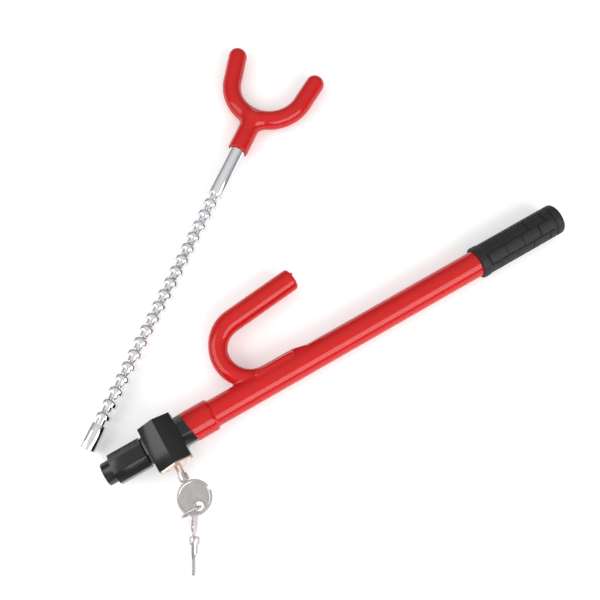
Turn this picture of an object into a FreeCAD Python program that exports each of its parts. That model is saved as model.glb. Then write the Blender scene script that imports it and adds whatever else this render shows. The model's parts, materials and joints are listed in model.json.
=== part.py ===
"""Steering wheel lock: a hooked tube with a key lock head, and a ratchet rod with a fork.

Frame, in millimetres: X runs along the tube from the lock head towards the grip, Y points to the
side of the hook, Z is up.  The origin is the middle of the flat foot under the lock head, so the
lock lies on the plane Z = 0.  The rod is modelled withdrawn, lying beside the tube.
"""
import FreeCAD, Part
import math
import os

V = FreeCAD.Vector
X_AXIS, Y_AXIS, Z_AXIS = V(1, 0, 0), V(0, 1, 0), V(0, 0, 1)

# Heights of the main axes above the floor
TUBE_Z = 16.3
BARREL_LIFT = 18.0
BARREL_Z = TUBE_Z + BARREL_LIFT
ROD_Z = 11.0

# Main tube and its coating
TUBE_R, TUBE_WALL = 12.5, 2.0
TUBE_BORE_R = TUBE_R - TUBE_WALL
COAT = 0.8
TUBE_END_X = 434.5
COLLAR_R, COLLAR_WALL = 14.9, 2.2
COLLAR_BORE_R = COLLAR_R - COLLAR_WALL
COLLAR_MID_X, COLLAR_SLANT = 24.3, 0.172
COLLAR_END_X, COLLAR_TAPER = 47.5, 3.5
COLLAR_PIN_X, COLLAR_PIN_Y, COLLAR_PIN_R, COLLAR_PIN_HALF = 38.0, 10.6, 1.2, 9.0

# Hook: a round bar bent into a J and welded along the tube
HOOK_BAR_R, ARM_SKIN_R = 8.3, 11.2
FLARE_START, FLARE_STEPS = 165.0, 6
HOOK_CENTRE = V(111.5, 38.7, TUBE_Z)
HOOK_BEND_R = 31.2
HOOK_SPLAY = 6.3
HOOK_ARM = 71.6
TAIL_LENGTH = 45.0
TAIL_BEVEL, TAIL_BEVEL_LENGTH = 24.0, 12.0
BAR_END_ROUND = 3.0
WELD_R, WELD_LENGTH, WELD_LEAD = 2.4, 36.0, 8.0
WELD_Y, WELD_RISE = 10.2, 8.3

# Grip and the tube's end plug
GRIP_START_X, GRIP_END_X = 342.7, 438.8
GRIP_R, GRIP_FLANGE_R, GRIP_FLANGE_W = 15.5, 16.2, 7.5
GRIP_RING_X, GRIP_RING_W, GRIP_RING_DEPTH = 429.0, 1.6, 1.2
GRIP_NOSE = 4.0
END_PLUG_LENGTH, END_PLUG_RIM = 12.0, 1.0
CUT_OVERSHOOT = 1.0

# Lock head casting
NOSE_X = -62.0
NECK_OVERLAP = 6.0
NOSE_R, NOSE_LENGTH, NOSE_CHAMFER = 11.2, 9.5, 0.8
BODY_FLATS = 28.4
FLANGE_WIDTH, FLANGE_START_FLATS, FLANGE_END_FLATS = 5.0, 24.6, 30.0
HEAD_FLATS = 31.5
HEAD_X = HEAD_FLATS / 2
HEAD_CORNER_R = HEAD_X / math.cos(math.radians(30))
HEAD_FRONT_Y, HEAD_BACK_Y = -27.0, 16.5
FOOT_HALF_Y, FOOT_BEVEL = 14.2, 4.0
SHANK_R, SHANK_END_X = COLLAR_BORE_R - 0.1, 46.0
ROD_BORE_R = 8.7
BUSH_R, BUSH_LENGTH, BUSH_BORE_R = 9.9, 8.0, 8.45

# Key cylinder, all on the barrel axis, which points along -Y
SHELL_R, SHELL_FRONT_Y, SHELL_BACK_Y = 6.3, -27.0, -8.0
TOWER_HALF_X, TOWER_TOP = 3.6, 13.0
TOWER_FRONT_Y, TOWER_BACK_Y = -25.5, -9.0
PLUG_R, PLUG_FRONT_Y = 4.8, -28.4
STUB_R, STUB_END_Y = 3.6, -6.7
CLIP_R, CLIP_WIDTH = 5.8, 0.8
CAM_PIN_R, CAM_OFFSET, CAM_START_ANGLE = 1.0, 2.5, -45.0
CAM_PIN_FRONT_Y, CAM_PIN_END_Y = -10.0, 1.0
PIN_R, PIN_COUNT, PIN_FIRST_Y, PIN_PITCH = 0.9, 4, -23.0, 3.4
PIN_TIP, DRIVER_TOP, PIN_GAP = 2.6, 8.4, 0.05
STRIP_THICK = 1.0
PLATE_THICK, PLATE_FLATS = 1.2, 28.0
RIVET_R, RIVET_X, RIVET_DEPTH, RIVET_HEAD = 1.2, 9.6, 5.0, 0.5

# Locking bolt, a vertical plunger above the rod
BOLT_R, BOLT_BORE_R = 4.4, 4.6
BOLT_TIP, BOLT_SHOULDER, BOLT_TOP = 5.1, 10.0, 24.0
BOLT_NOSE_HALF = 1.7
BOLT_BORE_TOP = 31.0
SLOT_PLAY = 0.15
SPRING_R, SPRING_WIRE_R, SPRING_TURNS = 3.3, 0.35, 4
CAP_TOP = -9.6

# Keys
KEY_TIP_Y, KEY_BIT_FRONT_Y, KEY_COLLAR_Y, BOW_EDGE_Y = -9.6, -28.6, -37.4, -44.4
KEY_BIT_HALF, KEY_BIT_THICK, KEY_CUT = 2.4, 2.0, 0.8
KEY_SHANK_R, KEY_COLLAR_R = 3.2, 4.7
BOW_R, BOW_THICK, BOW_RIM = 16.2, 2.0, 2.2
BOW_CENTRE_Y = -60.3
BOW_HOLE_R, BOW_HOLE_OFFSET = 4.1, 8.8
BOW_NOTCH_ANGLE, BOW_NOTCH = 4.0, 3.0
RING_R, RING_WIRE_R, RING_TURN_SHIFT = 10.0, 0.62, 0.5
RING_DROP_ANGLE = 36.0
SPARE_ON_RING_ANGLE = -82.0
SPARE_HEADING, SPARE_DIP, SPARE_SLACK = 240.0, 14.6, 2.4

# Ratchet rod, with C measured from its tip towards the fork
ROD_TIP = V(-67.5, 30.2, ROD_Z)
ROD_HEADING = 36.2
ROD_R, TIP_LENGTH, TIP_CHAMFER = 8.1, 25.4, 1.0
VALLEY_R = 4.9
FIRST_BEAD_C, BEAD_PITCH, BEAD_COUNT = 31.0, 13.03, 19
BEAD_CREST, BEAD_SLOPE = 4.0, 9.4
BEAD_ROUND = 0.6
ROD_END_C = 363.0
ROD_BORE_START_C, ROD_INNER_R, ROD_BORE_END_C = 4.0, 2.5, 350.0
GUARD_PIN_C, GUARD_PIN_LENGTH, GUARD_PIN_R = 5.0, 15.0, 2.2
SOCKET_START_C, SOCKET_R = 333.5, 9.6
FORK_PIN_C, FORK_PIN_R = 355.3, 1.5
FORK_BAR_R = 8.9
FORK_CENTRE_C, FORK_CENTRE_W, FORK_BEND_R = 413.6, 0.3, 39.6
FORK_SPLAY, FORK_LEAN, FORK_ARM, FORK_ARM_EXTRA = 10.5, -3.5, 27.8, -1.4


def cylinder(start, direction, radius, length):
    return Part.makeCylinder(radius, length, start, direction)


def box(low, high):
    size = high - low
    return Part.makeBox(size.x, size.y, size.z, low)


def along_x(x_start, x_end, radius, y=0.0, z=TUBE_Z):
    return cylinder(V(x_start, y, z), X_AXIS, radius, x_end - x_start)


def barrel_cylinder(y_front, y_back, radius):
    return cylinder(V(0, y_front, BARREL_Z), Y_AXIS, radius, y_back - y_front)


def ring_along_y(y_front, y_back, outer, inner):
    return barrel_cylinder(y_front, y_back, outer).cut(barrel_cylinder(y_front, y_back, inner))


def revolve_about_x(points, centre=V(0, 0, TUBE_Z)):
    """Revolve a closed outline of (x, radius) points about an X line through centre."""
    corners = [centre + V(x, 0, radius) for x, radius in points]
    outline = Part.makePolygon(corners + corners[:1])
    return Part.Face(outline).revolve(centre, X_AXIS, 360)


def prism(flats, sides, turn, centre, direction, across, length):
    """Prism with flat-to-flat size `flats`, extruded along direction; across is its first axis."""
    radius = flats / 2 / math.cos(math.pi / sides)
    other = direction.cross(across)
    corners = []
    for side in range(sides):
        angle = math.radians(turn) + 2 * math.pi * side / sides
        corners.append(centre + across * (radius * math.cos(angle)) + other * (radius * math.sin(angle)))
    face = Part.Face(Part.makePolygon(corners + corners[:1]))
    return face.extrude(direction * length)


def octagon_wire(x, flats):
    radius = flats / 2 / math.cos(math.pi / 8)
    corners = [V(x, radius * math.cos(math.radians(turn)), TUBE_Z + radius * math.sin(math.radians(turn)))
               for turn in [22.5 + 45 * side for side in range(8)]]
    return Part.makePolygon(corners + corners[:1])


def octagon_x(x_start, x_end, flats):
    return prism(flats, 8, 22.5, V(x_start, 0, TUBE_Z), X_AXIS, Y_AXIS, x_end - x_start)


def hexagon_y(y_start, y_end, flats):
    return prism(flats, 6, 30, V(0, y_start, BARREL_Z), Y_AXIS, X_AXIS, y_end - y_start)


def bent_bar(centre, bend_r, bar_r, start_angle, sweep):
    """Round bar bent in a horizontal plane about centre; angles in degrees."""
    angle = math.radians(start_angle)
    spoke = V(math.cos(angle), math.sin(angle), 0)
    tangent = V(-spoke.y, spoke.x, 0)
    disc = Part.Face(Part.Wire(Part.makeCircle(bar_r, centre + spoke * bend_r, tangent)))
    return disc.revolve(centre, Z_AXIS, sweep)


def collar_cut():
    """Block on the lock head's side of the slanted end of the collar."""
    reach, low, high = 60.0, V(-60, -60, -10), V(0, 60, 80)
    block = box(low, high)
    block.rotate(V(0, 0, 0), Z_AXIS, math.degrees(math.atan(COLLAR_SLANT)))
    block.translate(V(COLLAR_MID_X, 0, 0))
    return block.common(box(V(-reach, -reach, -10), V(2 * reach, reach, 80)))


def tube_envelope(grow):
    """Outside of the tube and its collar, as one solid, grown by the coating."""
    collar_start = COLLAR_MID_X - 8
    taper_end = COLLAR_END_X + COLLAR_TAPER
    outline = [(collar_start, 0), (collar_start, COLLAR_R + grow), (COLLAR_END_X, COLLAR_R + grow),
               (taper_end, TUBE_R + grow), (TUBE_END_X, TUBE_R + grow), (TUBE_END_X, 0)]
    return revolve_about_x(outline).cut(collar_cut())


def main_tube():
    taper_end = COLLAR_END_X + COLLAR_TAPER
    past_end = TUBE_END_X + CUT_OVERSHOOT
    bore = [(COLLAR_MID_X - 10, 0), (COLLAR_MID_X - 10, COLLAR_BORE_R), (COLLAR_END_X, COLLAR_BORE_R),
            (taper_end, TUBE_BORE_R), (past_end, TUBE_BORE_R), (past_end, 0)]
    tube = tube_envelope(0).cut(revolve_about_x(bore))
    for pin in collar_pins().Solids:
        tube = tube.cut(pin)
    return tube


def hook_arm_start():
    spoke_angle = math.radians(90 + HOOK_SPLAY)
    return HOOK_CENTRE + V(math.cos(spoke_angle), math.sin(spoke_angle), 0) * HOOK_BEND_R


def hook_arm(radius, length, rounding):
    """Straight arm of the hook with a rounded end."""
    arm = cylinder(V(0, 0, 0), X_AXIS, radius, length)
    end_edges = [edge for edge in arm.Edges
                 if edge.Curve.TypeId == "Part::GeomCircle" and edge.CenterOfMass.x > length - 1]
    arm = arm.makeFillet(rounding, end_edges)
    arm.rotate(V(0, 0, 0), Z_AXIS, HOOK_SPLAY)
    arm.translate(hook_arm_start())
    return arm


def hook_shape(bar_r, arm):
    """Bent bar with the given arm and its tail, before it is fitted to the tube."""
    sweep = 180 - HOOK_SPLAY
    bend = bent_bar(HOOK_CENTRE, HOOK_BEND_R, bar_r, 90 + HOOK_SPLAY, sweep)
    tail = cylinder(HOOK_CENTRE - Y_AXIS * HOOK_BEND_R, X_AXIS, bar_r, TAIL_LENGTH)
    bevel = box(V(0, 0, -30), V(60, 30, 30))
    bevel.rotate(V(0, 0, 0), Z_AXIS, -TAIL_BEVEL)
    tail_top = HOOK_CENTRE.y - HOOK_BEND_R + bar_r
    bevel.translate(V(HOOK_CENTRE.x + TAIL_LENGTH - TAIL_BEVEL_LENGTH, tail_top, TUBE_Z))
    return bend.fuse([arm, tail.cut(bevel)]).removeSplitter()


def flared_bend():
    """Stretch of the bend where the coating thickens towards the arm."""
    rings = []
    for step in range(FLARE_STEPS + 1):
        share = step / FLARE_STEPS
        angle = math.radians(FLARE_START + (90 + HOOK_SPLAY - FLARE_START) * share)
        spoke = V(math.cos(angle), math.sin(angle), 0)
        growth = (ARM_SKIN_R - HOOK_BAR_R - COAT) * share * share * (3 - 2 * share)
        circle = Part.makeCircle(HOOK_BAR_R + COAT + growth, HOOK_CENTRE + spoke * HOOK_BEND_R,
                                 V(-spoke.y, spoke.x, 0))
        rings.append(Part.Wire(circle))
    return Part.makeLoft(rings, True, True)


def hook_bar():
    solid_tube = along_x(COLLAR_END_X, TUBE_END_X, TUBE_R)
    arm = hook_arm(HOOK_BAR_R, HOOK_ARM, BAR_END_ROUND)
    return hook_shape(HOOK_BAR_R, arm).cut(solid_tube)


def hook_welds():
    """Weld beads in the two valleys between the hook's tail and the tube."""
    beads = []
    for side in (-1, 1):
        start = V(HOOK_CENTRE.x - WELD_LEAD, WELD_Y, TUBE_Z + side * WELD_RISE)
        bead = cylinder(start, X_AXIS, WELD_R, WELD_LENGTH)
        beads.append(bead.cut(hook_bar()).cut(along_x(COLLAR_END_X, TUBE_END_X, TUBE_R)))
    return Part.makeCompound(beads)


def tube_coating():
    arm = hook_arm(ARM_SKIN_R, HOOK_ARM + COAT, BAR_END_ROUND + COAT)
    hook = hook_shape(HOOK_BAR_R + COAT, arm).fuse(flared_bend())
    outside = tube_envelope(COAT).fuse(hook)
    for bead in hook_welds().Solids:
        grown = cylinder(V(bead.BoundBox.XMin - COAT, WELD_Y, bead.BoundBox.Center.z), X_AXIS,
                         WELD_R + COAT, WELD_LENGTH + 2 * COAT)
        outside = outside.fuse(grown)
    inside = [tube_envelope(0), hook_bar()] + hook_welds().Solids
    return largest(outside.cut(inside))


def largest(shape):
    return max(shape.Solids, key=lambda solid: solid.Volume)


def tube_end_plug():
    plug = along_x(TUBE_END_X - END_PLUG_LENGTH, TUBE_END_X, TUBE_BORE_R)
    cap = along_x(TUBE_END_X, TUBE_END_X + END_PLUG_RIM, TUBE_R)
    return plug.fuse(cap).removeSplitter()


def rubber_grip():
    ring_end = GRIP_RING_X + GRIP_RING_W
    groove_r = GRIP_R - GRIP_RING_DEPTH
    flange_end = GRIP_START_X + GRIP_FLANGE_W
    outline = [(GRIP_START_X, TUBE_R + COAT), (GRIP_START_X, GRIP_FLANGE_R), (flange_end, GRIP_FLANGE_R),
               (flange_end + 1, GRIP_R), (GRIP_RING_X, GRIP_R), (GRIP_RING_X, groove_r),
               (ring_end, groove_r), (ring_end, GRIP_R), (GRIP_END_X - GRIP_NOSE, GRIP_R),
               (GRIP_END_X - 1.2, GRIP_R - 1.4), (GRIP_END_X, GRIP_R - GRIP_NOSE), (GRIP_END_X, 0),
               (TUBE_END_X + END_PLUG_RIM, 0), (TUBE_END_X + END_PLUG_RIM, TUBE_R), (TUBE_END_X, TUBE_R),
               (TUBE_END_X, TUBE_R + COAT)]
    return revolve_about_x(outline)


def lock_housing():
    """Casting: nose, faceted body, hexagonal head over the rod passage, foot, neck and shank."""
    nose_end = NOSE_X + NOSE_LENGTH
    nose = revolve_about_x([(NOSE_X, 0), (NOSE_X, NOSE_R - NOSE_CHAMFER), (NOSE_X + NOSE_CHAMFER, NOSE_R),
                            (nose_end, NOSE_R), (nose_end, 0)])
    body = octagon_x(nose_end, -HEAD_X - FLANGE_WIDTH, BODY_FLATS)
    flange = Part.makeLoft([octagon_wire(-HEAD_X - FLANGE_WIDTH, FLANGE_START_FLATS),
                            octagon_wire(-HEAD_X, FLANGE_END_FLATS)], True, True)
    head = hexagon_y(HEAD_FRONT_Y, HEAD_BACK_Y, HEAD_FLATS)
    foot = box(V(-HEAD_X, -FOOT_HALF_Y, 0), V(HEAD_X, FOOT_HALF_Y, BARREL_Z))
    foot_edges = [edge for edge in foot.Edges
                  if edge.BoundBox.XLength > HEAD_X and edge.BoundBox.ZMax < 1]
    foot = foot.makeChamfer(FOOT_BEVEL, foot_edges)
    neck = octagon_x(HEAD_X, COLLAR_MID_X + NECK_OVERLAP, BODY_FLATS).common(collar_cut())
    shank = along_x(HEAD_X, SHANK_END_X, SHANK_R)
    solid = nose.fuse([body, flange, head, foot, neck, shank]).removeSplitter()
    return solid.cut(housing_cavities()).removeSplitter()


def housing_cavities():
    rod_passage = along_x(NOSE_X - 1, SHANK_END_X + 1, ROD_BORE_R)
    bush_seat = along_x(NOSE_X - 1, NOSE_X + BUSH_LENGTH, BUSH_R)
    barrel = barrel_cylinder(SHELL_FRONT_Y - 1, SHELL_BACK_Y + 1.4, SHELL_R)
    tower = box(V(-TOWER_HALF_X, TOWER_FRONT_Y, BARREL_Z),
                V(TOWER_HALF_X, TOWER_BACK_Y, BARREL_Z + TOWER_TOP))
    cam_passage = barrel_cylinder(SHELL_BACK_Y, 0, CAM_OFFSET + CAM_PIN_R + 0.3)
    bolt_bore = cylinder(V(0, 0, -1), Z_AXIS, BOLT_BORE_R, TUBE_Z + BOLT_BORE_TOP + 1)
    holes = [rod_passage, bush_seat, barrel, tower, cam_passage, bolt_bore]
    holes += collar_pins().Solids
    for side in (-1, 1):
        start = V(side * RIVET_X, HEAD_FRONT_Y - 1, BARREL_Z)
        holes.append(cylinder(start, Y_AXIS, RIVET_R, RIVET_DEPTH + 1))
    return holes


def nose_bush():
    outer = along_x(NOSE_X, NOSE_X + BUSH_LENGTH, BUSH_R)
    return outer.cut(along_x(NOSE_X - 1, NOSE_X + BUSH_LENGTH + 1, BUSH_BORE_R))


def collar_pins():
    pins = []
    for side in (-1, 1):
        start = V(COLLAR_PIN_X, side * COLLAR_PIN_Y, TUBE_Z - COLLAR_PIN_HALF)
        pins.append(cylinder(start, Z_AXIS, COLLAR_PIN_R, 2 * COLLAR_PIN_HALF))
    return Part.makeCompound(pins)


def face_plate():
    plate = hexagon_y(HEAD_FRONT_Y - PLATE_THICK, HEAD_FRONT_Y, PLATE_FLATS)
    plate = plate.cut(barrel_cylinder(HEAD_FRONT_Y - 2, HEAD_FRONT_Y + 1, PLUG_R + 0.1))
    for side in (-1, 1):
        start = V(side * RIVET_X, HEAD_FRONT_Y - 2, BARREL_Z)
        plate = plate.cut(cylinder(start, Y_AXIS, RIVET_R, 4))
    return plate


def face_rivets():
    rivets = []
    for side in (-1, 1):
        front = V(side * RIVET_X, HEAD_FRONT_Y - PLATE_THICK, BARREL_Z)
        shank = cylinder(front, Y_AXIS, RIVET_R, PLATE_THICK + RIVET_DEPTH)
        head = cylinder(front - Y_AXIS * RIVET_HEAD, Y_AXIS, RIVET_R + 0.6, RIVET_HEAD)
        rivets.append(shank.fuse(head).removeSplitter())
    return Part.makeCompound(rivets)


def pin_positions():
    return [PIN_FIRST_Y + PIN_PITCH * index for index in range(PIN_COUNT)]


def pin_stack(low, high, radius):
    pins = [cylinder(V(0, y, BARREL_Z + low), Z_AXIS, radius, high - low) for y in pin_positions()]
    return Part.makeCompound(pins)


def cylinder_shell():
    barrel = barrel_cylinder(SHELL_FRONT_Y, SHELL_BACK_Y, SHELL_R)
    tower = box(V(-TOWER_HALF_X, TOWER_FRONT_Y, BARREL_Z),
                V(TOWER_HALF_X, TOWER_BACK_Y, BARREL_Z + TOWER_TOP - STRIP_THICK))
    shell = barrel.fuse(tower).cut(barrel_cylinder(PLUG_FRONT_Y - 1, SHELL_BACK_Y + 1, PLUG_R + PIN_GAP))
    return shell.cut(pin_stack(0, TOWER_TOP, PIN_R).Solids)


def driver_pins():
    return pin_stack(PLUG_R + 2 * PIN_GAP, DRIVER_TOP, PIN_R)


def pin_springs():
    springs = []
    length = TOWER_TOP - STRIP_THICK - DRIVER_TOP
    for y in pin_positions():
        start = V(0, y, BARREL_Z + DRIVER_TOP)
        outer = cylinder(start, Z_AXIS, PIN_R, length)
        springs.append(outer.cut(cylinder(start, Z_AXIS, PIN_R - 0.3, length)))
    return Part.makeCompound(springs)


def spring_strip():
    return box(V(-TOWER_HALF_X, TOWER_FRONT_Y, BARREL_Z + TOWER_TOP - STRIP_THICK),
               V(TOWER_HALF_X, TOWER_BACK_Y, BARREL_Z + TOWER_TOP))


def cylinder_plug():
    plug = barrel_cylinder(PLUG_FRONT_Y, SHELL_BACK_Y, PLUG_R)
    plug = plug.fuse(barrel_cylinder(SHELL_BACK_Y, STUB_END_Y, STUB_R)).removeSplitter()
    keyway = box(V(-KEY_BIT_THICK / 2 - 0.1, PLUG_FRONT_Y - 1, BARREL_Z - KEY_BIT_HALF - 0.1),
                 V(KEY_BIT_THICK / 2 + 0.1, KEY_TIP_Y + 0.3, BARREL_Z + KEY_BIT_HALF + 0.1))
    return plug.cut([keyway, cam_pin()] + pin_stack(0, PLUG_R + 1, PIN_R).Solids)


def key_pins():
    return pin_stack(PIN_TIP, PLUG_R - PIN_GAP, PIN_R)


def plug_clip():
    return ring_along_y(SHELL_BACK_Y, SHELL_BACK_Y + CLIP_WIDTH, CLIP_R, STUB_R)


def cam_pin():
    angle = math.radians(CAM_START_ANGLE)
    centre = V(CAM_OFFSET * math.cos(angle), CAM_PIN_FRONT_Y + 1.5, BARREL_Z + CAM_OFFSET * math.sin(angle))
    return cylinder(centre, Y_AXIS, CAM_PIN_R, CAM_PIN_END_Y - centre.y)


def locking_bolt():
    """Round plunger, narrowed to a nose for the rod's grooves and slotted for the cam pin."""
    full = cylinder(V(0, 0, TUBE_Z + BOLT_TIP), Z_AXIS, BOLT_R, BOLT_TOP - BOLT_TIP)
    keep_high = box(V(-6, -6, TUBE_Z + BOLT_SHOULDER), V(6, 6, TUBE_Z + BOLT_TOP))
    keep_nose = box(V(-BOLT_NOSE_HALF, -6, TUBE_Z), V(BOLT_NOSE_HALF, 6, TUBE_Z + BOLT_TOP))
    bolt = full.common(keep_high.fuse(keep_nose))
    pin_z = BARREL_Z + CAM_OFFSET * math.sin(math.radians(CAM_START_ANGLE))
    half = CAM_PIN_R + SLOT_PLAY
    slot = box(V(0.4, -6, pin_z - half), V(6, CAM_PIN_END_Y + 0.4, pin_z + half))
    return bolt.cut(slot)


def bolt_spring():
    low = TUBE_Z + BOLT_TOP + SPRING_WIRE_R
    length = BOLT_BORE_TOP - BOLT_TOP - 2 * SPRING_WIRE_R
    helix = Part.makeHelix(length / SPRING_TURNS, length, SPRING_R)
    helix.translate(V(0, 0, low))
    section = Part.Wire(Part.makeCircle(SPRING_WIRE_R, V(SPRING_R, 0, low), Y_AXIS))
    return Part.Wire(helix.Edges).makePipeShell([section], True, True)


def bolt_cap():
    return cylinder(V(0, 0, 0), Z_AXIS, BOLT_BORE_R, TUBE_Z + CAP_TOP)


def blade_at_barrel():
    """Key blade with bits on both edges, a round shank and a collar next to the bow."""
    bit = box(V(-KEY_BIT_THICK / 2, KEY_BIT_FRONT_Y, BARREL_Z - KEY_BIT_HALF),
              V(KEY_BIT_THICK / 2, KEY_TIP_Y, BARREL_Z + KEY_BIT_HALF))
    for y in pin_positions():
        for side in (-1, 1):
            cut = box(V(-2, -KEY_CUT, -KEY_CUT), V(2, KEY_CUT, KEY_CUT))
            cut.rotate(V(0, 0, 0), X_AXIS, 45)
            cut.translate(V(0, y + 0.4 * side, BARREL_Z + side * (KEY_BIT_HALF + 0.2)))
            bit = bit.cut(cut)
    shank = barrel_cylinder(KEY_COLLAR_Y, KEY_BIT_FRONT_Y, KEY_SHANK_R)
    collar = barrel_cylinder(BOW_EDGE_Y + 0.8, KEY_COLLAR_Y, KEY_COLLAR_R)
    tang = box(V(-2.4, BOW_EDGE_Y - 2.5, BARREL_Z - 0.4), V(2.4, BOW_EDGE_Y + 1.0, BARREL_Z + 0.4))
    return bit.fuse([shank, collar, tang]).removeSplitter()


def bow_at_barrel():
    """Round bow with a raised rim, a ring hole and a small notch in the rim."""
    centre = V(0, BOW_CENTRE_Y, BARREL_Z)
    disc = cylinder(centre - Z_AXIS * (BOW_THICK / 2), Z_AXIS, BOW_R, BOW_THICK)
    for side in (-1, 1):
        floor = centre + Z_AXIS * (BOW_THICK / 2 - 0.4 if side > 0 else -BOW_THICK / 2 - 0.6)
        disc = disc.cut(cylinder(floor, Z_AXIS, BOW_R - BOW_RIM, 1.0))
    hole = centre - Y_AXIS * BOW_HOLE_OFFSET - Z_AXIS * 3
    disc = disc.cut(cylinder(hole, Z_AXIS, BOW_HOLE_R, 6))
    angle = math.radians(BOW_NOTCH_ANGLE)
    notch = centre + V(math.cos(angle), math.sin(angle), 0) * (BOW_R + 0.6) - Z_AXIS * 3
    disc = disc.cut(cylinder(notch, Z_AXIS, BOW_NOTCH / 2 + 1, 6))
    return largest(disc.cut(blade_at_barrel()))


def bow_hole_centre():
    return V(0, BOW_CENTRE_Y - BOW_HOLE_OFFSET, BARREL_Z)


def ring_centre():
    drop = math.radians(RING_DROP_ANGLE)
    return bow_hole_centre() - V(math.cos(drop), 0, math.sin(drop)) * RING_R


def key_ring():
    """Split ring: two turns of wire side by side, drawn as two joined rings."""
    turns = [Part.makeTorus(RING_R, RING_WIRE_R, ring_centre() + Y_AXIS * shift, Y_AXIS)
             for shift in (-RING_TURN_SHIFT, RING_TURN_SHIFT)]
    return turns[0].fuse(turns[1]).removeSplitter()


def spare_hole_centre():
    """Middle of the spare key's hole, pushed up against the ring's wire."""
    angle, heading = math.radians(SPARE_ON_RING_ANGLE), math.radians(SPARE_HEADING)
    wire = ring_centre() + V(math.cos(angle), 0, math.sin(angle)) * RING_R
    return wire - V(math.cos(heading), math.sin(heading), 0) * SPARE_SLACK


def hang_spare(shape):
    """Move a key piece from the barrel to the ring, with its bow upright and its blade dipping."""
    hung = shape.copy()
    hung.translate(bow_hole_centre() * -1)
    hung.rotate(V(0, 0, 0), Y_AXIS, 90)
    hung.rotate(V(0, 0, 0), X_AXIS, -SPARE_DIP)
    hung.rotate(V(0, 0, 0), Z_AXIS, SPARE_HEADING - 90)
    hung.translate(spare_hole_centre())
    return hung


def rod_place(shape):
    """Move a rod piece from its own frame, C along X, to its place beside the tube."""
    placed = shape.copy()
    placed.rotate(V(0, 0, 0), Z_AXIS, ROD_HEADING)
    placed.translate(ROD_TIP)
    return placed


def rod_frame_cylinder(c_start, c_end, radius):
    return cylinder(V(c_start, 0, 0), X_AXIS, radius, c_end - c_start)


def lock_rod():
    """Hollow rod: plain tip, tapered beads whose steep shoulders face the tip, plain end."""
    outline = [(0, 0), (0, ROD_R - TIP_CHAMFER), (TIP_CHAMFER, ROD_R), (TIP_LENGTH - 0.4, ROD_R),
               (TIP_LENGTH, ROD_R - 0.4), (TIP_LENGTH, VALLEY_R)]
    for index in range(BEAD_COUNT):
        start = FIRST_BEAD_C + index * BEAD_PITCH
        outline += [(start, VALLEY_R), (start, ROD_R - BEAD_ROUND), (start + BEAD_ROUND, ROD_R),
                    (start + BEAD_CREST, ROD_R), (start + BEAD_CREST + 1.4, ROD_R - 0.5),
                    (start + BEAD_SLOPE, VALLEY_R)]
    plain_start = FIRST_BEAD_C + BEAD_COUNT * BEAD_PITCH
    outline += [(plain_start, VALLEY_R), (plain_start, ROD_R - BEAD_ROUND),
                (plain_start + BEAD_ROUND, ROD_R), (ROD_END_C, ROD_R), (ROD_END_C, 0)]
    rod = revolve_about_x(outline, V(0, 0, 0))
    rod = rod.cut(rod_frame_cylinder(-1, ROD_BORE_END_C, ROD_INNER_R))
    return rod.cut(fork_pin_shape())


def rod_tip_plug():
    return rod_frame_cylinder(0, ROD_BORE_START_C, ROD_INNER_R)


def saw_guard_pin():
    return rod_frame_cylinder(GUARD_PIN_C, GUARD_PIN_C + GUARD_PIN_LENGTH, GUARD_PIN_R)


def fork_shape(bar_r):
    """U-shaped bar with round ends and one slightly longer arm, leaning to one side of the rod."""
    centre = V(FORK_CENTRE_C, FORK_CENTRE_W, 0)
    half_sweep = 90 - FORK_SPLAY
    middle = 180 - FORK_LEAN
    pieces = [bent_bar(centre, FORK_BEND_R, bar_r, middle - half_sweep, 2 * half_sweep)]
    for side in (-1, 1):
        angle = math.radians(middle + side * half_sweep)
        start = centre + V(math.cos(angle), math.sin(angle), 0) * FORK_BEND_R
        direction = V(-math.sin(angle), math.cos(angle), 0) * side
        length = FORK_ARM + FORK_ARM_EXTRA * side
        pieces.append(cylinder(start, direction, bar_r, length))
        pieces.append(Part.makeSphere(bar_r, start + direction * length))
    return pieces[0].fuse(pieces[1:]).removeSplitter()


def fork_bar():
    return fork_shape(FORK_BAR_R).cut(rod_frame_cylinder(SOCKET_START_C, ROD_END_C, ROD_R))


def fork_socket():
    """Steel sleeve that joins the rod to the fork, shaped to the bend of the bar."""
    sleeve = rod_frame_cylinder(SOCKET_START_C, FORK_CENTRE_C - FORK_BEND_R, SOCKET_R)
    sleeve = sleeve.cut([rod_frame_cylinder(0, ROD_END_C, ROD_R), fork_shape(FORK_BAR_R), fork_pin_shape()])
    return largest(sleeve)


def fork_pin_shape():
    return cylinder(V(FORK_PIN_C, 0, -SOCKET_R - COAT), Z_AXIS, FORK_PIN_R, 2 * (SOCKET_R + COAT))


def fork_pin():
    reach = SOCKET_R - 0.3
    return cylinder(V(FORK_PIN_C, 0, -reach), Z_AXIS, FORK_PIN_R, 2 * reach)


def fork_coating():
    sleeve_end = FORK_CENTRE_C - FORK_BEND_R
    sleeve = rod_frame_cylinder(SOCKET_START_C - 1, sleeve_end, SOCKET_R + COAT)
    outside = fork_shape(FORK_BAR_R + COAT).fuse(sleeve)
    inside = [rod_frame_cylinder(0, sleeve_end, ROD_R), fork_shape(FORK_BAR_R),
              rod_frame_cylinder(SOCKET_START_C, sleeve_end, SOCKET_R), fork_pin_shape()]
    return largest(outside.cut(inside))


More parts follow.
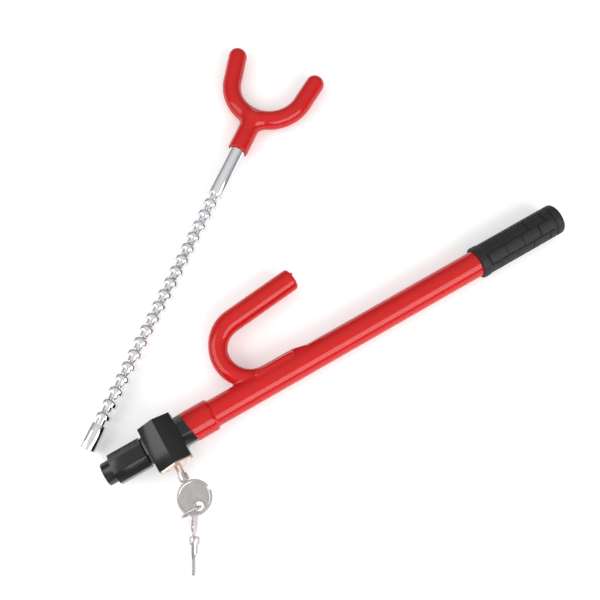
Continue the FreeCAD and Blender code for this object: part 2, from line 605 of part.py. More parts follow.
def build():
    """Every piece by the name of its node."""
    pieces = {
        "main_tube": main_tube(), "hook_bar": hook_bar(), "hook_welds": hook_welds(),
        "tube_coating": tube_coating(), "tube_end_plug": tube_end_plug(),
        "rubber_grip": rubber_grip(), "lock_housing": lock_housing(), "nose_bush": nose_bush(),
        "collar_pins": collar_pins(), "face_plate": face_plate(), "face_rivets": face_rivets(),
        "cylinder_shell": cylinder_shell(), "driver_pins": driver_pins(),
        "pin_springs": pin_springs(), "spring_strip": spring_strip(),
        "bolt_spring": bolt_spring(), "bolt_cap": bolt_cap(),
        "cylinder_plug": cylinder_plug(), "key_pins": key_pins(), "plug_clip": plug_clip(),
        "cam_pin": cam_pin(), "locking_bolt": locking_bolt(),
        "key_blade": blade_at_barrel(), "key_bow": bow_at_barrel(), "key_ring": key_ring(),
        "spare_key_blade": hang_spare(blade_at_barrel()), "spare_key_bow": hang_spare(bow_at_barrel()),
        "saw_guard_pin": rod_place(saw_guard_pin()), "lock_rod": rod_place(lock_rod()),
        "rod_tip_plug": rod_place(rod_tip_plug()), "fork_bar": rod_place(fork_bar()),
        "fork_socket": rod_place(fork_socket()), "fork_pin": rod_place(fork_pin()),
        "fork_coating": rod_place(fork_coating()),
    }
    return pieces


os.makedirs("parts", exist_ok=True)
for name, shape in build().items():
    shape.exportStep("parts/" + name + ".step")
    print(name, len(shape.Solids), round(shape.Volume, 1), shape.isValid())
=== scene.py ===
"""Looks of the steering wheel lock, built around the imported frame. Lengths in MM units are millimetres."""
import json
import math

import bmesh
import bpy
import numpy as np
from mathutils import Matrix, Vector


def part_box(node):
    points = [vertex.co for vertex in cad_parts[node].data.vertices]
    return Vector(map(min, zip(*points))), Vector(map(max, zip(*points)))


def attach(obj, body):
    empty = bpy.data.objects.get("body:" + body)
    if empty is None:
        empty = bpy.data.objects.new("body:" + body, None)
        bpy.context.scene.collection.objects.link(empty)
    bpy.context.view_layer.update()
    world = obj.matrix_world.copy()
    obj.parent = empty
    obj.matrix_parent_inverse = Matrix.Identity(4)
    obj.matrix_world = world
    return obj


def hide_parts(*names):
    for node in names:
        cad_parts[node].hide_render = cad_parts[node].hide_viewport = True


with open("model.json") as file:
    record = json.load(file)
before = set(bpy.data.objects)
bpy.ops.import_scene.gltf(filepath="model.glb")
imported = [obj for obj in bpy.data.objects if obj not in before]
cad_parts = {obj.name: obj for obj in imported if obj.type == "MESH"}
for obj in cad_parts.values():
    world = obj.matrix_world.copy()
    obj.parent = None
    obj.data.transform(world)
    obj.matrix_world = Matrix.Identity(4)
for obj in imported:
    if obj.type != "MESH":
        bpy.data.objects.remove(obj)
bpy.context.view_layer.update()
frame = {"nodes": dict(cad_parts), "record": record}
MM = 0.001
JOINTS = {joint["name"]: joint for joint in frame["record"]["behaviour"]["joints"]}
SLOTS = {part["node"]: part["material_slot"] for part in frame["record"]["subparts"]}


def joint_point(name):
    return Vector(JOINTS[name]["pos_m"]) / MM


def node_box(name):
    low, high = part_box(name)
    return Vector(low) / MM, Vector(high) / MM


def node_middle(name):
    low, high = node_box(name)
    return (low + high) / 2


# Main axes, read from the frame
TUBE_LOW, TUBE_HIGH = node_box("main_tube")
TUBE_Z = node_middle("rubber_grip").z
TUBE_END_X = TUBE_HIGH.x
GRIP_LOW, GRIP_HIGH = node_box("rubber_grip")
WELD_LOW, WELD_HIGH = node_box("hook_welds")
BOW_HOLE = joint_point("ring_swing")
SPARE_HOLE = joint_point("spare_key_swing")
ROD_DIRECTION = -Vector(JOINTS["rod_slide"]["axis"])
TIP_PLUG_HALF = 2.0
ROD_TIP = node_middle("rod_tip_plug") - ROD_DIRECTION * TIP_PLUG_HALF

# Dipped skin of the tube and hook
TUBE_SKIN_R, COLLAR_SKIN_R = 13.3, 15.7
COLLAR_END_X, COLLAR_TAPER = 47.5, 3.5
COLLAR_MID_X, COLLAR_SLANT = 24.3, 0.172
HOOK_X, HOOK_Y, HOOK_BEND_R = 111.5, 38.7, 31.2
HOOK_SPLAY, HOOK_ARM = math.radians(6.3), 72.4
FLARE_TURN = math.radians(72.0)
HOOK_SKIN_R, ARM_SKIN_R = 9.1, 11.2
TAIL_END_X = 156.5
STEEL_R = 12.5
WELD_Y, WELD_RISE, WELD_SKIN_R = 10.2, 8.3, 3.0
BEVEL_LENGTH, BEVEL_SLOPE = 11.0, (0.42, 0.907)

# Crimp dimple in the collar, from its end and the tube's axis, and the drip at the arm's end
CRIMP_X, CRIMP_Y, CRIMP_Z, CRIMP_R = 2.5, -4.4, 16.8, 3.2
CRIMP_STRETCH = (1.0, 1.6, 1.0)
DRIP_OFFSET, DRIP_R = (0.2, 3.6, 1.5), 1.9

# How far the ring's wire lies from the middle of the spare key's hole
SPARE_SLACK = 2.4
BOW_NOTCH_ANGLE = 4.0

# Fork, in the rod's own frame: C along the rod from its tip
FORK_SKIN_R = 9.7
SOCKET_C, SOCKET_SKIN_R = 332.5, 10.4
FORK_C, FORK_W, FORK_BEND_R = 413.6, 0.3, 39.6
FORK_SPLAY, FORK_LEAN, FORK_ARM = math.radians(10.5), math.radians(-3.5), 27.8
FORK_ARM_EXTRA = -1.4
FORK_PIN_C, FORK_PIN_R, FORK_PIN_DEPTH = 355.3, 1.5, 2.2
SLEEVE_BLEND = 7.0
LIP_DEPTH, LIP_CLEARANCE, LIP_OVERSHOOT = 1.6, 0.9, 4.0
ROD_R, VALLEY_R, ROD_BORE_R = 8.1, 4.9, 2.5
FIRST_BEAD_C, BEAD_PITCH, BEAD_COUNT = 31.0, 13.03, 19


# ---------------------------------------------------------------- mesh tools

def new_mesh(name, vertices, faces, smooth=True):
    """Mesh object from vertices in millimetres."""
    mesh = bpy.data.meshes.new(name)
    mesh.from_pydata([Vector(vertex) * MM for vertex in vertices], [], faces)
    mesh.validate()
    for polygon in mesh.polygons:
        polygon.use_smooth = smooth
    piece = bpy.data.objects.new(name, mesh)
    bpy.context.collection.objects.link(piece)
    return piece


def lathe(name, outline, origin, direction, segments=96, closed=False):
    """Revolve (along, radius) points about the line through origin along direction."""
    axis = direction.normalized()
    side = axis.orthogonal().normalized()
    other = axis.cross(side)
    vertices, faces = [], []
    for along, radius in outline:
        for index in range(segments):
            angle = 2 * math.pi * index / segments
            spoke = side * math.cos(angle) + other * math.sin(angle)
            vertices.append(origin + axis * along + spoke * radius)
    rows = len(outline)
    for row in range(rows if closed else rows - 1):
        below, above = row * segments, (row + 1) % rows * segments
        for index in range(segments):
            after = (index + 1) % segments
            faces.append((below + index, below + after, above + after, above + index))
    if not closed:
        faces.append(tuple(reversed(range(segments))))
        faces.append(tuple(range((rows - 1) * segments, rows * segments)))
    piece = new_mesh(name, vertices, faces)
    fix_normals(piece)
    sharpen(piece)
    return piece


def fix_normals(piece):
    shell = bmesh.new()
    shell.from_mesh(piece.data)
    bmesh.ops.recalc_face_normals(shell, faces=shell.faces)
    shell.to_mesh(piece.data)
    shell.free()


def sharpen(piece, degrees=32):
    """Mark the edges that stay crisp under smooth shading."""
    shell = bmesh.new()
    shell.from_mesh(piece.data)
    for face in shell.faces:
        face.smooth = True
    for edge in shell.edges:
        edge.smooth = len(edge.link_faces) != 2 or edge.calc_face_angle() < math.radians(degrees)
    shell.to_mesh(piece.data)
    shell.free()


def apply_modifiers(piece):
    depsgraph = bpy.context.evaluated_depsgraph_get()
    mesh = bpy.data.meshes.new_from_object(piece.evaluated_get(depsgraph))
    piece.modifiers.clear()
    piece.data = mesh


def boolean(piece, tool, operation="DIFFERENCE"):
    modifier = piece.modifiers.new("cut", "BOOLEAN")
    modifier.operation, modifier.object, modifier.solver = operation, tool, "EXACT"
    apply_modifiers(piece)
    bpy.data.objects.remove(tool)


def join(name, pieces):
    """One object from several, with their meshes joined."""
    shell = bmesh.new()
    for piece in pieces:
        shell.from_mesh(piece.data)
    mesh = bpy.data.meshes.new(name)
    shell.to_mesh(mesh)
    shell.free()
    for piece in pieces:
        bpy.data.objects.remove(piece)
    joined = bpy.data.objects.new(name, mesh)
    bpy.context.collection.objects.link(joined)
    return joined


def curve_tube(name, points, radius, cyclic=False, resolution=8):
    """Round wire along a smooth line through points, as a mesh."""
    curve = bpy.data.curves.new(name, "CURVE")
    curve.dimensions, curve.bevel_depth, curve.bevel_resolution = "3D", radius * MM, 4
    curve.use_fill_caps, curve.resolution_u = True, resolution
    spline = curve.splines.new("NURBS")
    spline.points.add(len(points) - 1)
    for point, place in zip(spline.points, points):
        point.co = (*(Vector(place) * MM), 1.0)
    spline.order_u, spline.use_endpoint_u, spline.use_cyclic_u = 3, not cyclic, cyclic
    wire = bpy.data.objects.new(name, curve)
    bpy.context.collection.objects.link(wire)
    depsgraph = bpy.context.evaluated_depsgraph_get()
    mesh = bpy.data.meshes.new_from_object(wire.evaluated_get(depsgraph))
    bpy.data.objects.remove(wire)
    for polygon in mesh.polygons:
        polygon.use_smooth = True
    piece = bpy.data.objects.new(name, mesh)
    bpy.context.collection.objects.link(piece)
    return piece


# ---------------------------------------------------------------- smooth skins from distance fields

def smooth_min(a, b, blend):
    share = np.clip(0.5 + 0.5 * (b - a) / blend, 0, 1)
    return b * (1 - share) + a * share - blend * share * (1 - share)


def smooth_max(a, b, blend):
    return -smooth_min(-a, -b, blend)


def smooth_step(low, high, x):
    share = np.clip((x - low) / (high - low), 0, 1)
    return share * share * (3 - 2 * share)


def rod_distance(points, start, end, radius, rounding):
    """Distance to a round bar with flat ends and rounded rims."""
    start, end = np.array(start, float), np.array(end, float)
    axis = (end - start) / np.linalg.norm(end - start)
    along = (points - start) @ axis
    across = np.linalg.norm(points - start - np.outer(along, axis), axis=1)
    half = np.linalg.norm(end - start) / 2
    side = across - radius + rounding
    cap = np.abs(along - half) - half + rounding
    outside = np.hypot(np.maximum(side, 0), np.maximum(cap, 0))
    return outside + np.minimum(np.maximum(side, cap), 0) - rounding


def capsule_distance(points, start, end, radius):
    """Distance to a round bar with ball ends."""
    start, span = np.array(start, float), np.array(end, float) - np.array(start, float)
    share = np.clip((points - start) @ span / (span @ span), 0, 1)
    return np.linalg.norm(points - start - np.outer(share, span), axis=1) - radius


def arc_distance(points, centre, bend_r, bar_r, start, sweep, flare=0.0):
    """Distance to a bar bent in a horizontal plane, with round ends; it thickens by `flare` at its start."""
    local = points - np.array(centre, float)
    angle = np.arctan2(local[:, 1], local[:, 0])
    turn = np.clip(np.mod(angle - start + (2 * math.pi - sweep) / 2, 2 * math.pi)
                   - (2 * math.pi - sweep) / 2, 0, sweep) + start
    spine = np.stack([np.cos(turn) * bend_r, np.sin(turn) * bend_r, np.zeros(len(points))], axis=1)
    grown = flare * (1 - smooth_step(0, FLARE_TURN, turn - start))
    return np.linalg.norm(local - spine, axis=1) - bar_r - grown


def gradient(field, points, step=0.05):
    slopes = []
    for axis in range(3):
        shift = np.zeros(3)
        shift[axis] = step
        slopes.append((field(points + shift) - field(points - shift)) / (2 * step))
    return np.stack(slopes, axis=1)


def settle(points, field, edges, rounds):
    """Spread the points evenly over the surface where the field is zero."""
    for _ in range(rounds):
        total, count = np.zeros_like(points), np.zeros(len(points))
        for a, b in ((0, 1), (1, 0)):
            np.add.at(total, edges[:, a], points[edges[:, b]])
            np.add.at(count, edges[:, a], 1)
        points = points + 0.5 * (total / count[:, None] - points)
        for _ in range(2):
            slope = gradient(field, points)
            size = np.maximum((slope ** 2).sum(axis=1), 0.2)
            points = points - (field(points) / size)[:, None] * slope
    return points


def skin(name, seeds, field, voxel, rounds=4):
    """Closed smooth skin: remesh the seeds, then settle the mesh on the field's surface."""
    piece = join(name, seeds)
    remesh = piece.modifiers.new("remesh", "REMESH")
    remesh.mode, remesh.voxel_size = "VOXEL", voxel * MM
    apply_modifiers(piece)
    mesh = piece.data
    points = np.empty(len(mesh.vertices) * 3)
    mesh.vertices.foreach_get("co", points)
    edges = np.empty(len(mesh.edges) * 2, int)
    mesh.edges.foreach_get("vertices", edges)
    points = settle(points.reshape(-1, 3) / MM, field, edges.reshape(-1, 2), rounds)
    mesh.vertices.foreach_set("co", (points * MM).ravel())
    mesh.update()
    for polygon in mesh.polygons:
        polygon.use_smooth = True
    return piece


def seed_rod(start, end, radius):
    start, end = Vector(start), Vector(end)
    length = (end - start).length
    return lathe("seed", [(0, radius), (length, radius)], start, end - start, 24)


def seed_arc(centre, bend_r, bar_r, start, sweep):
    steps = 16
    points = [Vector(centre) + Vector((math.cos(start + sweep * i / steps),
                                      math.sin(start + sweep * i / steps), 0)) * bend_r
              for i in range(steps + 1)]
    pieces = [seed_rod(a, b, bar_r) for a, b in zip(points, points[1:])]
    return pieces


# ---------------------------------------------------------------- materials

def noise(tree, scale, detail=4.0, roughness=0.5):
    coordinates = tree.nodes.new("ShaderNodeTexCoord")
    texture = tree.nodes.new("ShaderNodeTexNoise")
    texture.inputs["Scale"].default_value = scale
    texture.inputs["Detail"].default_value = detail
    texture.inputs["Roughness"].default_value = roughness
    tree.links.new(coordinates.outputs["Object"], texture.inputs["Vector"])
    return texture.outputs["Fac"]


def remap(tree, value, low, high, out_low, out_high):
    node = tree.nodes.new("ShaderNodeMapRange")
    node.inputs["From Min"].default_value, node.inputs["From Max"].default_value = low, high
    node.inputs["To Min"].default_value, node.inputs["To Max"].default_value = out_low, out_high
    tree.links.new(value, node.inputs["Value"])
    return node.outputs["Result"]


def bump(tree, height, strength, distance):
    node = tree.nodes.new("ShaderNodeBump")
    node.inputs["Strength"].default_value = strength
    node.inputs["Distance"].default_value = distance * MM
    tree.links.new(height, node.inputs["Height"])
    return node.outputs["Normal"]


def tint(tree, value, dark, light):
    ramp = tree.nodes.new("ShaderNodeValToRGB")
    ramp.color_ramp.elements[0].color = (*dark, 1)
    ramp.color_ramp.elements[1].color = (*light, 1)
    tree.links.new(value, ramp.inputs["Fac"])
    return ramp.outputs["Color"]


def surface(name, dark, light, metallic, roughness, grain, relief, coat=0.0, specular=0.5):
    """Principled surface with colour, roughness and fine relief varied by noise at `grain` scale."""
    material = bpy.data.materials.new(name)
    material.use_nodes = True
    tree = material.node_tree
    shader = tree.nodes["Principled BSDF"]
    broad, fine = noise(tree, grain / 6), noise(tree, grain, 6.0)
    tree.links.new(tint(tree, broad, dark, light), shader.inputs["Base Color"])
    tree.links.new(remap(tree, fine, 0.3, 0.7, *roughness), shader.inputs["Roughness"])
    tree.links.new(bump(tree, fine, relief, 0.1), shader.inputs["Normal"])
    shader.inputs["Metallic"].default_value = metallic
    shader.inputs["Coat Weight"].default_value = coat
    shader.inputs["Coat Roughness"].default_value = 0.08
    shader.inputs["Specular IOR Level"].default_value = specular
    return material


MATERIALS = {
    "red_vinyl": surface("red_vinyl", (0.47, 0.003, 0.003), (0.54, 0.005, 0.005), 0.0, (0.09, 0.15),
                         260, 0.02, specular=0.4),
    "black_enamel": surface("black_enamel", (0.003, 0.003, 0.0035), (0.006, 0.006, 0.007), 0.0, (0.13, 0.24),
                            900, 0.06),
    "rubber": surface("rubber", (0.007, 0.007, 0.008), (0.014, 0.014, 0.016), 0.0, (0.5, 0.68), 1500, 0.3,
                      specular=0.35),
    "chrome": surface("chrome", (0.74, 0.75, 0.77), (0.84, 0.85, 0.87), 1.0, (0.05, 0.12), 500, 0.02),
    "steel": surface("steel", (0.38, 0.38, 0.39), (0.5, 0.5, 0.51), 1.0, (0.3, 0.42), 900, 0.1),
    "brass": surface("brass", (0.80, 0.60, 0.50), (0.95, 0.78, 0.68), 1.0, (0.24, 0.38), 900, 0.12),
    "nickel": surface("nickel", (0.44, 0.41, 0.41), (0.62, 0.58, 0.58), 1.0, (0.20, 0.36), 1100, 0.12),
    "nylon": surface("nylon", (0.03, 0.03, 0.03), (0.05, 0.05, 0.05), 0.0, (0.4, 0.5), 900, 0.1),
}


def finish_piece(piece, body, slot, *nodes):
    """Give a new piece its material, body and slot, and hide the nodes that it stands for."""
    piece.data.materials.clear()
    piece.data.materials.append(MATERIALS[slot])
    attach(piece, body)
    if nodes:
        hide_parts(*nodes)


# ---------------------------------------------------------------- red skins

def tube_skin():
    middle = (0, 0, TUBE_Z)
    arm_angle = math.pi / 2 + HOOK_SPLAY
    arm_direction = np.array([math.sin(arm_angle), -math.cos(arm_angle), 0])
    arm_start = np.array([HOOK_X + math.cos(arm_angle) * HOOK_BEND_R,
                          HOOK_Y + math.sin(arm_angle) * HOOK_BEND_R, TUBE_Z])
    arm_end = arm_start + arm_direction * HOOK_ARM
    tail_y = HOOK_Y - HOOK_BEND_R
    tail_start, tail_end = (HOOK_X, tail_y, TUBE_Z), (TAIL_END_X, tail_y, TUBE_Z)
    nub = arm_end + np.array(DRIP_OFFSET)
    welds = [((WELD_LOW.x, WELD_Y, TUBE_Z + side * WELD_RISE),
              (WELD_HIGH.x, WELD_Y, TUBE_Z + side * WELD_RISE))
             for side in (-1, 1)]
    bend = ((HOOK_X, HOOK_Y, TUBE_Z), HOOK_BEND_R)
    sweep = math.pi - HOOK_SPLAY

    def field(points):
        x, y, z = points[:, 0], points[:, 1], points[:, 2] - middle[2]
        across = np.hypot(y, z)
        grown = COLLAR_SKIN_R - TUBE_SKIN_R
        radius = TUBE_SKIN_R + grown * (1 - smooth_step(COLLAR_END_X, COLLAR_END_X + COLLAR_TAPER, x))
        tube = across - radius
        slant = COLLAR_MID_X - COLLAR_SLANT * y - x
        tube = smooth_max(tube, slant, 0.8)
        tube = smooth_max(tube, x - TUBE_END_X, 0.5)
        crimp = np.linalg.norm((points - np.array([COLLAR_END_X + CRIMP_X, CRIMP_Y, middle[2] + CRIMP_Z]))
                               / np.array(CRIMP_STRETCH), axis=1) - CRIMP_R
        tube = smooth_max(tube, -crimp, 1.2)
        arc = arc_distance(points, *bend, HOOK_SKIN_R, arm_angle, sweep, ARM_SKIN_R - HOOK_SKIN_R)
        arm = rod_distance(points, arm_start - arm_direction * ARM_SKIN_R, arm_end, ARM_SKIN_R, 3.8)
        arm = np.maximum(arm, -(points - arm_start) @ arm_direction)
        tail = rod_distance(points, tail_start, tail_end, HOOK_SKIN_R, 2.0)
        bevel = ((points[:, 0] - (TAIL_END_X - BEVEL_LENGTH)) * BEVEL_SLOPE[0]
                 + (points[:, 1] - (tail_y + HOOK_SKIN_R)) * BEVEL_SLOPE[1])
        tail = smooth_max(tail, bevel, 2.5)
        drip = np.linalg.norm(points - nub, axis=1) - DRIP_R
        hook = smooth_min(np.minimum(arc, arm), drip, 1.5)
        for start, end in welds:
            tail = smooth_min(tail, capsule_distance(points, start, end, WELD_SKIN_R), 2.0)
        return smooth_min(smooth_min(hook, tail, 0.5), tube, 3.2)

    seeds = [seed_rod((TUBE_LOW.x, 0, TUBE_Z), (TUBE_END_X, 0, TUBE_Z), TUBE_SKIN_R + 0.5),
             seed_rod((TUBE_LOW.x, 0, TUBE_Z), (COLLAR_END_X + 2, 0, TUBE_Z), COLLAR_SKIN_R + 0.5),
             seed_rod(arm_start, arm_end, ARM_SKIN_R), seed_rod(tail_start, tail_end, HOOK_SKIN_R),
             seed_rod(nub - np.array([3, 0, 0]), nub + np.array([1.5, 0, 0]), 1.8)]
    seeds += seed_arc(bend[0], bend[1], HOOK_SKIN_R, arm_angle, sweep)
    piece = skin("tube_skin", seeds, field, 0.9)
    bore = lathe("bore", [(-60, STEEL_R), (TUBE_END_X + 40, STEEL_R)], Vector(middle), Vector((1, 0, 0)), 96)
    boolean(piece, bore)
    finish_piece(piece, "lock_body", "red_vinyl", "tube_coating")


def rod_point(c, w, z=0.0):
    across = Vector((-ROD_DIRECTION.y, ROD_DIRECTION.x, 0))
    return ROD_TIP + ROD_DIRECTION * c + across * w + Vector((0, 0, z))


def fork_skin():
    heading = math.atan2(ROD_DIRECTION.y, ROD_DIRECTION.x)
    middle = heading + math.pi - FORK_LEAN
    half = math.pi / 2 - FORK_SPLAY
    centre = rod_point(FORK_C, FORK_W)
    tips = []
    for side in (-1, 1):
        angle = middle + side * half
        start = centre + Vector((math.cos(angle), math.sin(angle), 0)) * FORK_BEND_R
        forward = Vector((-math.sin(angle), math.cos(angle), 0)) * side
        tips.append((start, start + forward * (FORK_ARM + FORK_ARM_EXTRA * side)))
    lip = rod_point(SOCKET_C, 0)
    socket_end = rod_point(FORK_C - FORK_BEND_R, 0)

    def field(points):
        arc = arc_distance(points, centre, FORK_BEND_R, FORK_SKIN_R, middle - half, 2 * half)
        bars = arc
        for start, end in tips:
            bars = np.minimum(bars, capsule_distance(points, start, end, FORK_SKIN_R))
        sleeve = rod_distance(points, lip, socket_end, SOCKET_SKIN_R, 1.0)
        shape = smooth_min(bars, sleeve, SLEEVE_BLEND)
        gap = rod_distance(points, rod_point(SOCKET_C - LIP_OVERSHOOT, 0),
                           rod_point(SOCKET_C + LIP_DEPTH, 0), ROD_R + LIP_CLEARANCE, 0.3)
        hole = np.hypot(*(points - np.array(rod_point(FORK_PIN_C, 0)))[:, :2].T) - FORK_PIN_R
        hole = np.maximum(hole, (ROD_TIP.z + SOCKET_SKIN_R - FORK_PIN_DEPTH) - points[:, 2])
        return smooth_max(smooth_max(shape, -gap, 0.4), -hole, 0.5)

    seeds = seed_arc(centre, FORK_BEND_R, FORK_SKIN_R, middle - half, 2 * half)
    for start, end in tips:
        seeds.append(seed_rod(start, end + (end - start).normalized() * FORK_SKIN_R * 0.8, FORK_SKIN_R))
    seeds.append(seed_rod(lip, socket_end, SOCKET_SKIN_R))
    piece = skin("fork_skin", seeds, field, 0.8)
    finish_piece(piece, "rod", "red_vinyl", "fork_coating")


# ---------------------------------------------------------------- rod

def ratchet_rod():
    """Chromed rod: rounded bands with steep shoulders towards the tip, plain end, hollow inside."""
    tip_length, plain_end, bore_end = 25.4, 362.0, 350.0
    fall_start, fall_length, fall_steps = 3.4, 6.2, 8
    outline = [(0.0, ROD_BORE_R), (0.0, ROD_R - 1.3), (0.35, ROD_R - 0.5), (1.3, ROD_R),
               (8, ROD_R), (17, ROD_R),
               (tip_length - 0.6, ROD_R), (tip_length - 0.15, ROD_R - 0.25), (tip_length, ROD_R - 0.8),
               (tip_length, VALLEY_R + 0.4), (tip_length + 0.4, VALLEY_R)]
    for index in range(BEAD_COUNT):
        start = FIRST_BEAD_C + index * BEAD_PITCH
        outline += [(start - 0.3, VALLEY_R), (start, VALLEY_R + 0.4), (start, ROD_R - 0.9),
                    (start + 0.2, ROD_R - 0.35), (start + 0.7, ROD_R - 0.05), (start + 1.6, ROD_R)]
        for step in range(fall_steps + 1):
            share = step / fall_steps
            fall = (ROD_R - VALLEY_R) * (1 - math.cos(share * math.pi)) / 2
            outline.append((start + fall_start + share * fall_length, ROD_R - fall))
    plain = FIRST_BEAD_C + BEAD_COUNT * BEAD_PITCH
    outline += [(plain - 0.3, VALLEY_R), (plain, VALLEY_R + 0.4), (plain, ROD_R - 0.9),
                (plain + 0.3, ROD_R - 0.25), (plain + 0.9, ROD_R), (plain + 30, ROD_R), (plain_end, ROD_R),
                (plain_end, 0.3), (bore_end + 0.5, 0.3), (bore_end, ROD_BORE_R)]
    piece = lathe("ratchet_rod", outline, ROD_TIP, ROD_DIRECTION, 80, closed=True)
    finish_piece(piece, "rod", "chrome", "lock_rod")


# ---------------------------------------------------------------- rubber grip

def moulded_grip():
    """Grip with a flange, staggered pads cut by narrow grooves, a ring groove and a rounded end."""
    columns, pad, groove, depth = 8, 19.4, 0.75, 0.9
    start, end = GRIP_LOW.x, GRIP_HIGH.x
    body_r, flange_r = 15.5, 16.15
    flange_length, flange_end, nose_length = 7.2, 8.6, 4.0
    pads_start, ring = start + 9.5, end - 9.6
    around, row_pitch, nose_steps, rows = 256, 0.42, 8, []
    x = start
    while x < end - nose_length:
        rows.append(x)
        x += row_pitch
    for step in range(nose_steps + 1):
        rows.append(end - nose_length + nose_length * math.sin(step / nose_steps * math.pi / 2))

    def groove_depth(distance):
        return depth * (1 - smooth_step(groove * 0.45, groove, abs(distance)))

    vertices = []
    column_angle = 2 * math.pi / columns
    for x in rows:
        step_down = 1 - smooth_step(flange_length, flange_end, x - start)
        base = flange_r if x < start + flange_length else body_r + (flange_r - body_r) * step_down
        base -= 1.0 * (1 - smooth_step(0.0, 1.1, x - start)) ** 2
        nose = max(0.0, (x - (end - nose_length)) / nose_length)
        base = base - nose_length + nose_length * math.sqrt(max(0.0, 1 - nose * nose)) if nose > 0 else base
        for index in range(around):
            angle = 2 * math.pi * index / around
            cut = groove_depth((x - ring) / 1.3) * 1.2
            if pads_start - 1 < x < ring - 1.5:
                column = math.floor(angle / column_angle)
                offset = (angle / column_angle - column - 0.5) * column_angle * body_r
                edge = column_angle * body_r / 2 - abs(offset)
                shift = pad / 2 if column % 2 else 0.0
                along = (x - pads_start + shift) % pad
                cross = min(along, pad - along)
                ends = smooth_step(pads_start - 1, pads_start, x)
                ends = ends * (1 - smooth_step(ring - 3.0, ring - 2.0, x))
                cut = max(cut, ends * max(groove_depth(edge), groove_depth(cross)))
            radius = base - float(cut)
            vertices.append((x, radius * math.cos(angle), TUBE_Z + radius * math.sin(angle)))
    count = len(rows)
    faces = [(r * around + i, r * around + (i + 1) % around, (r + 1) * around + (i + 1) % around,
              (r + 1) * around + i) for r in range(count - 1) for i in range(around)]
    faces.append(tuple(range((count - 1) * around, count * around)))
    faces.append(tuple(reversed(range(around))))
    piece = new_mesh("moulded_grip", vertices, faces)
    fix_normals(piece)
    sharpen(piece, 50)
    boolean(piece, lathe("bore", [(start - 5, TUBE_SKIN_R + 0.02), (TUBE_END_X, TUBE_SKIN_R + 0.02)],
                         Vector((0, 0, TUBE_Z)), Vector((1, 0, 0)), 96))
    finish_piece(piece, "lock_body", "rubber", "rubber_grip")


# ---------------------------------------------------------------- lock head

def edged_copy(node, name, body, slot, width, degrees=25):
    """Copy of a CAD node with flat faces merged and its edges rounded."""
    shell = bmesh.new()
    shell.from_mesh(frame["nodes"][node].data)
    bmesh.ops.remove_doubles(shell, verts=shell.verts, dist=1e-6)
    bmesh.ops.dissolve_limit(shell, angle_limit=math.radians(1.0), verts=shell.verts, edges=shell.edges)
    mesh = bpy.data.meshes.new(name)
    shell.to_mesh(mesh)
    shell.free()
    piece = bpy.data.objects.new(name, mesh)
    bpy.context.collection.objects.link(piece)
    bevel = piece.modifiers.new("edges", "BEVEL")
    bevel.width, bevel.segments, bevel.limit_method = width * MM, 2, "ANGLE"
    bevel.angle_limit, bevel.harden_normals = math.radians(degrees), False
    apply_modifiers(piece)
    sharpen(piece, 40)
    finish_piece(piece, body, slot, node)
    return piece


# ---------------------------------------------------------------- keys and ring

def key_frame(hole, direction, normal):
    """Matrix from a key's own frame (hole at the origin, blade along -Y, bow normal +Z) to the model."""
    along, up = -direction.normalized(), normal.normalized()
    side = along.cross(up)
    matrix = Matrix((side, along, up)).transposed().to_4x4()
    matrix.translation = hole
    return matrix


def stamped_bow(name, matrix, body, node):
    """Round bow: raised rim, recessed panel, ring hole and a small rim notch."""
    bow_r, centre_y, hole_r, thick, rim = 16.15, 8.8, 4.1, 1.0, 2.2
    centre = Vector((0, -centre_y, 0))
    top = [(thick - 0.35, 0.01), (thick - 0.35, bow_r - rim - 0.4), (thick - 0.05, bow_r - rim),
           (thick, bow_r - rim + 0.3), (thick, bow_r - 0.5),
           (thick - 0.15, bow_r - 0.12), (thick - 0.5, bow_r)]
    outline = top + [(-z, r) for z, r in reversed(top)]
    piece = lathe(name, outline, centre, Vector((0, 0, 1)), 128)
    eye = [(0.9, hole_r), (thick, hole_r + 0.3), (thick, hole_r + 1.1), (thick - 0.35, hole_r + 1.5)]
    eye += [(-z, r) for z, r in reversed(eye)]
    collar = lathe("eye", eye, Vector((0, 0, 0)), Vector((0, 0, 1)), 64)
    boolean(piece, collar, "UNION")
    boolean(piece, lathe("hole", [(-3, hole_r), (3, hole_r)], Vector((0, 0, 0)), Vector((0, 0, 1)), 64))
    angle = math.radians(BOW_NOTCH_ANGLE)
    notch = centre - Vector((math.cos(angle), math.sin(angle), 0)) * (bow_r + 0.6)
    boolean(piece, lathe("notch", [(-3, 2.5), (3, 2.5)], notch, Vector((0, 0, 1)), 24))
    piece.data.transform(Matrix.Scale(MM, 4) @ matrix @ Matrix.Scale(1 / MM, 4))
    fix_normals(piece)
    sharpen(piece)
    finish_piece(piece, body, "nickel", node)


def split_ring():
    """Flat-wound split ring: two turns of wire with free ends."""
    centre = node_middle("key_ring")
    low, high = node_box("key_ring")
    ring_r = (high.x - low.x) / 2 - 0.62
    steps, turns, wire = 40, 1.93, 0.6
    points = []
    for index in range(int(steps * turns) + 1):
        angle = 2 * math.pi * index / steps + 2.2
        shift = -0.5 + index / (steps * turns)
        points.append((centre.x + ring_r * math.cos(angle), centre.y + shift,
                       centre.z + ring_r * math.sin(angle)))
    piece = curve_tube("split_ring", points, wire, resolution=3)
    finish_piece(piece, "ring", "nickel", "key_ring")


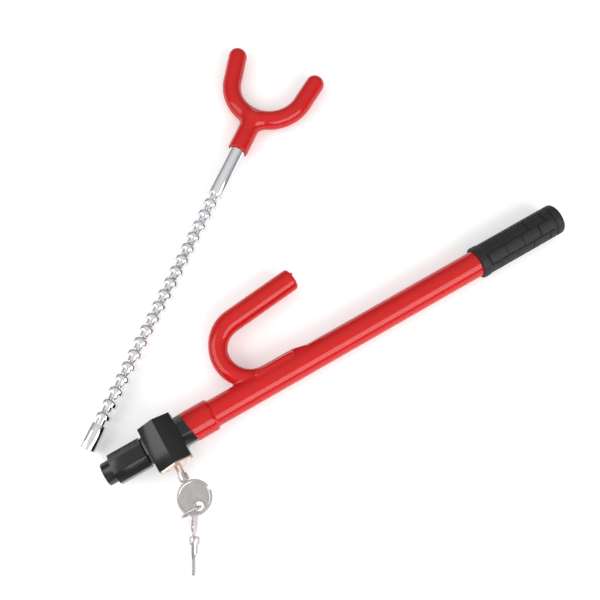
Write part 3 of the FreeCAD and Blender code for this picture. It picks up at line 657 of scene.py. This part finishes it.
def keys():
    spare_normal = Vector(JOINTS["spare_key_swing"]["axis"])
    spare_blade = node_middle("spare_key_blade") - SPARE_HOLE
    spare_direction = (spare_blade - spare_normal * spare_blade.dot(spare_normal)).normalized()
    bow_matrix = key_frame(BOW_HOLE, Vector((0, 1, 0)), Vector((0, 0, 1)))
    stamped_bow("key_bow_stamped", bow_matrix, "key", "key_bow")
    level = Vector((spare_direction.x, spare_direction.y, 0)).normalized()
    spare_hole = SPARE_HOLE - level * SPARE_SLACK
    stamped_bow("spare_bow_stamped", key_frame(spare_hole, spare_direction, spare_normal), "spare_key",
                "spare_key_bow")
    edged_copy("key_blade", "key_blade_edged", "key", "nickel", 0.15)
    edged_copy("spare_key_blade", "spare_key_blade_edged", "spare_key", "nickel", 0.15)
    split_ring()


# ---------------------------------------------------------------- stage

def place_camera():
    """Camera above the tube, leaning towards the key's side, at the reference angle."""
    focal, sensor, distance = 51.0, 36.0, 822.0
    lean, turn = math.radians(16.66), math.radians(30.22)
    aim = Vector((175.1, 54.7, TUBE_Z))
    right = Vector((math.cos(turn), -math.sin(turn), 0))
    forward = Vector((math.sin(turn), math.cos(turn), 0))
    up = forward * math.cos(lean) + Vector((0, 0, 1)) * math.sin(lean)
    back = -forward * math.sin(lean) + Vector((0, 0, 1)) * math.cos(lean)
    camera = bpy.data.objects.new("camera", bpy.data.cameras.new("camera"))
    bpy.context.collection.objects.link(camera)
    camera.data.lens, camera.data.sensor_width = focal, sensor
    pose = Matrix((right, up, back)).transposed().to_4x4()
    pose.translation = (aim + back * distance) * MM
    camera.matrix_world = pose
    bpy.context.scene.camera = camera


def area_light(name, direction, distance, size, radiance):
    """Softbox seen from the middle of the object in this direction, aimed at it."""
    target = Vector((170, 50, 0)) * MM
    toward = Vector(direction).normalized()
    lamp = bpy.data.lights.new(name, "AREA")
    lamp.shape, lamp.size, lamp.size_y = "RECTANGLE", size[0], size[1]
    lamp.energy = radiance * math.pi * size[0] * size[1]
    light = bpy.data.objects.new(name, lamp)
    bpy.context.collection.objects.link(light)
    light.location = target + toward * distance
    light.rotation_euler = toward.to_track_quat("Z", "Y").to_euler()


def studio_world():
    """Dim walls under a pale ceiling."""
    world = bpy.data.worlds.new("studio")
    bpy.context.scene.world = world
    world.use_nodes = True
    tree = world.node_tree
    coordinates = tree.nodes.new("ShaderNodeTexCoord")
    split = tree.nodes.new("ShaderNodeSeparateXYZ")
    tree.links.new(coordinates.outputs["Generated"], split.inputs["Vector"])
    shade = remap(tree, split.outputs["Z"], 0.2, 0.95, 0.3, 0.85)
    tree.links.new(shade, tree.nodes["Background"].inputs["Strength"])
    tree.nodes["Background"].inputs["Color"].default_value = (1.0, 1.0, 1.0, 1)


def stage():
    floor = new_mesh("floor", [(-4000, -4000, 0), (4000, -4000, 0), (4000, 4000, 0), (-4000, 4000, 0)],
                     [(0, 1, 2, 3)])
    material = bpy.data.materials.new("floor")
    material.use_nodes = True
    shader = material.node_tree.nodes["Principled BSDF"]
    shader.inputs["Base Color"].default_value = (0.85, 0.85, 0.85, 1)
    shader.inputs["Roughness"].default_value = 0.8
    shader.inputs["Emission Color"].default_value = (1, 1, 1, 1)
    shader.inputs["Emission Strength"].default_value = 0.22
    floor.data.materials.append(material)
    bpy.context.scene.view_settings.view_transform = "Standard"
    studio_world()
    area_light("front_softbox", (0.14, -0.80, 0.60), 1.3, (1.6, 0.8), 3.6)
    area_light("left_softbox", (-0.76, 0.25, 0.6), 1.3, (1.0, 1.0), 2.4)


def dress_frame():
    """Give every CAD node that stays visible its own material."""
    for node, piece in frame["nodes"].items():
        piece.data.materials.clear()
        piece.data.materials.append(MATERIALS[SLOTS[node]])


place_camera()
dress_frame()
tube_skin()
fork_skin()
ratchet_rod()
moulded_grip()
edged_copy("lock_housing", "lock_head", "lock_body", "black_enamel", 0.35)
keys()
stage()
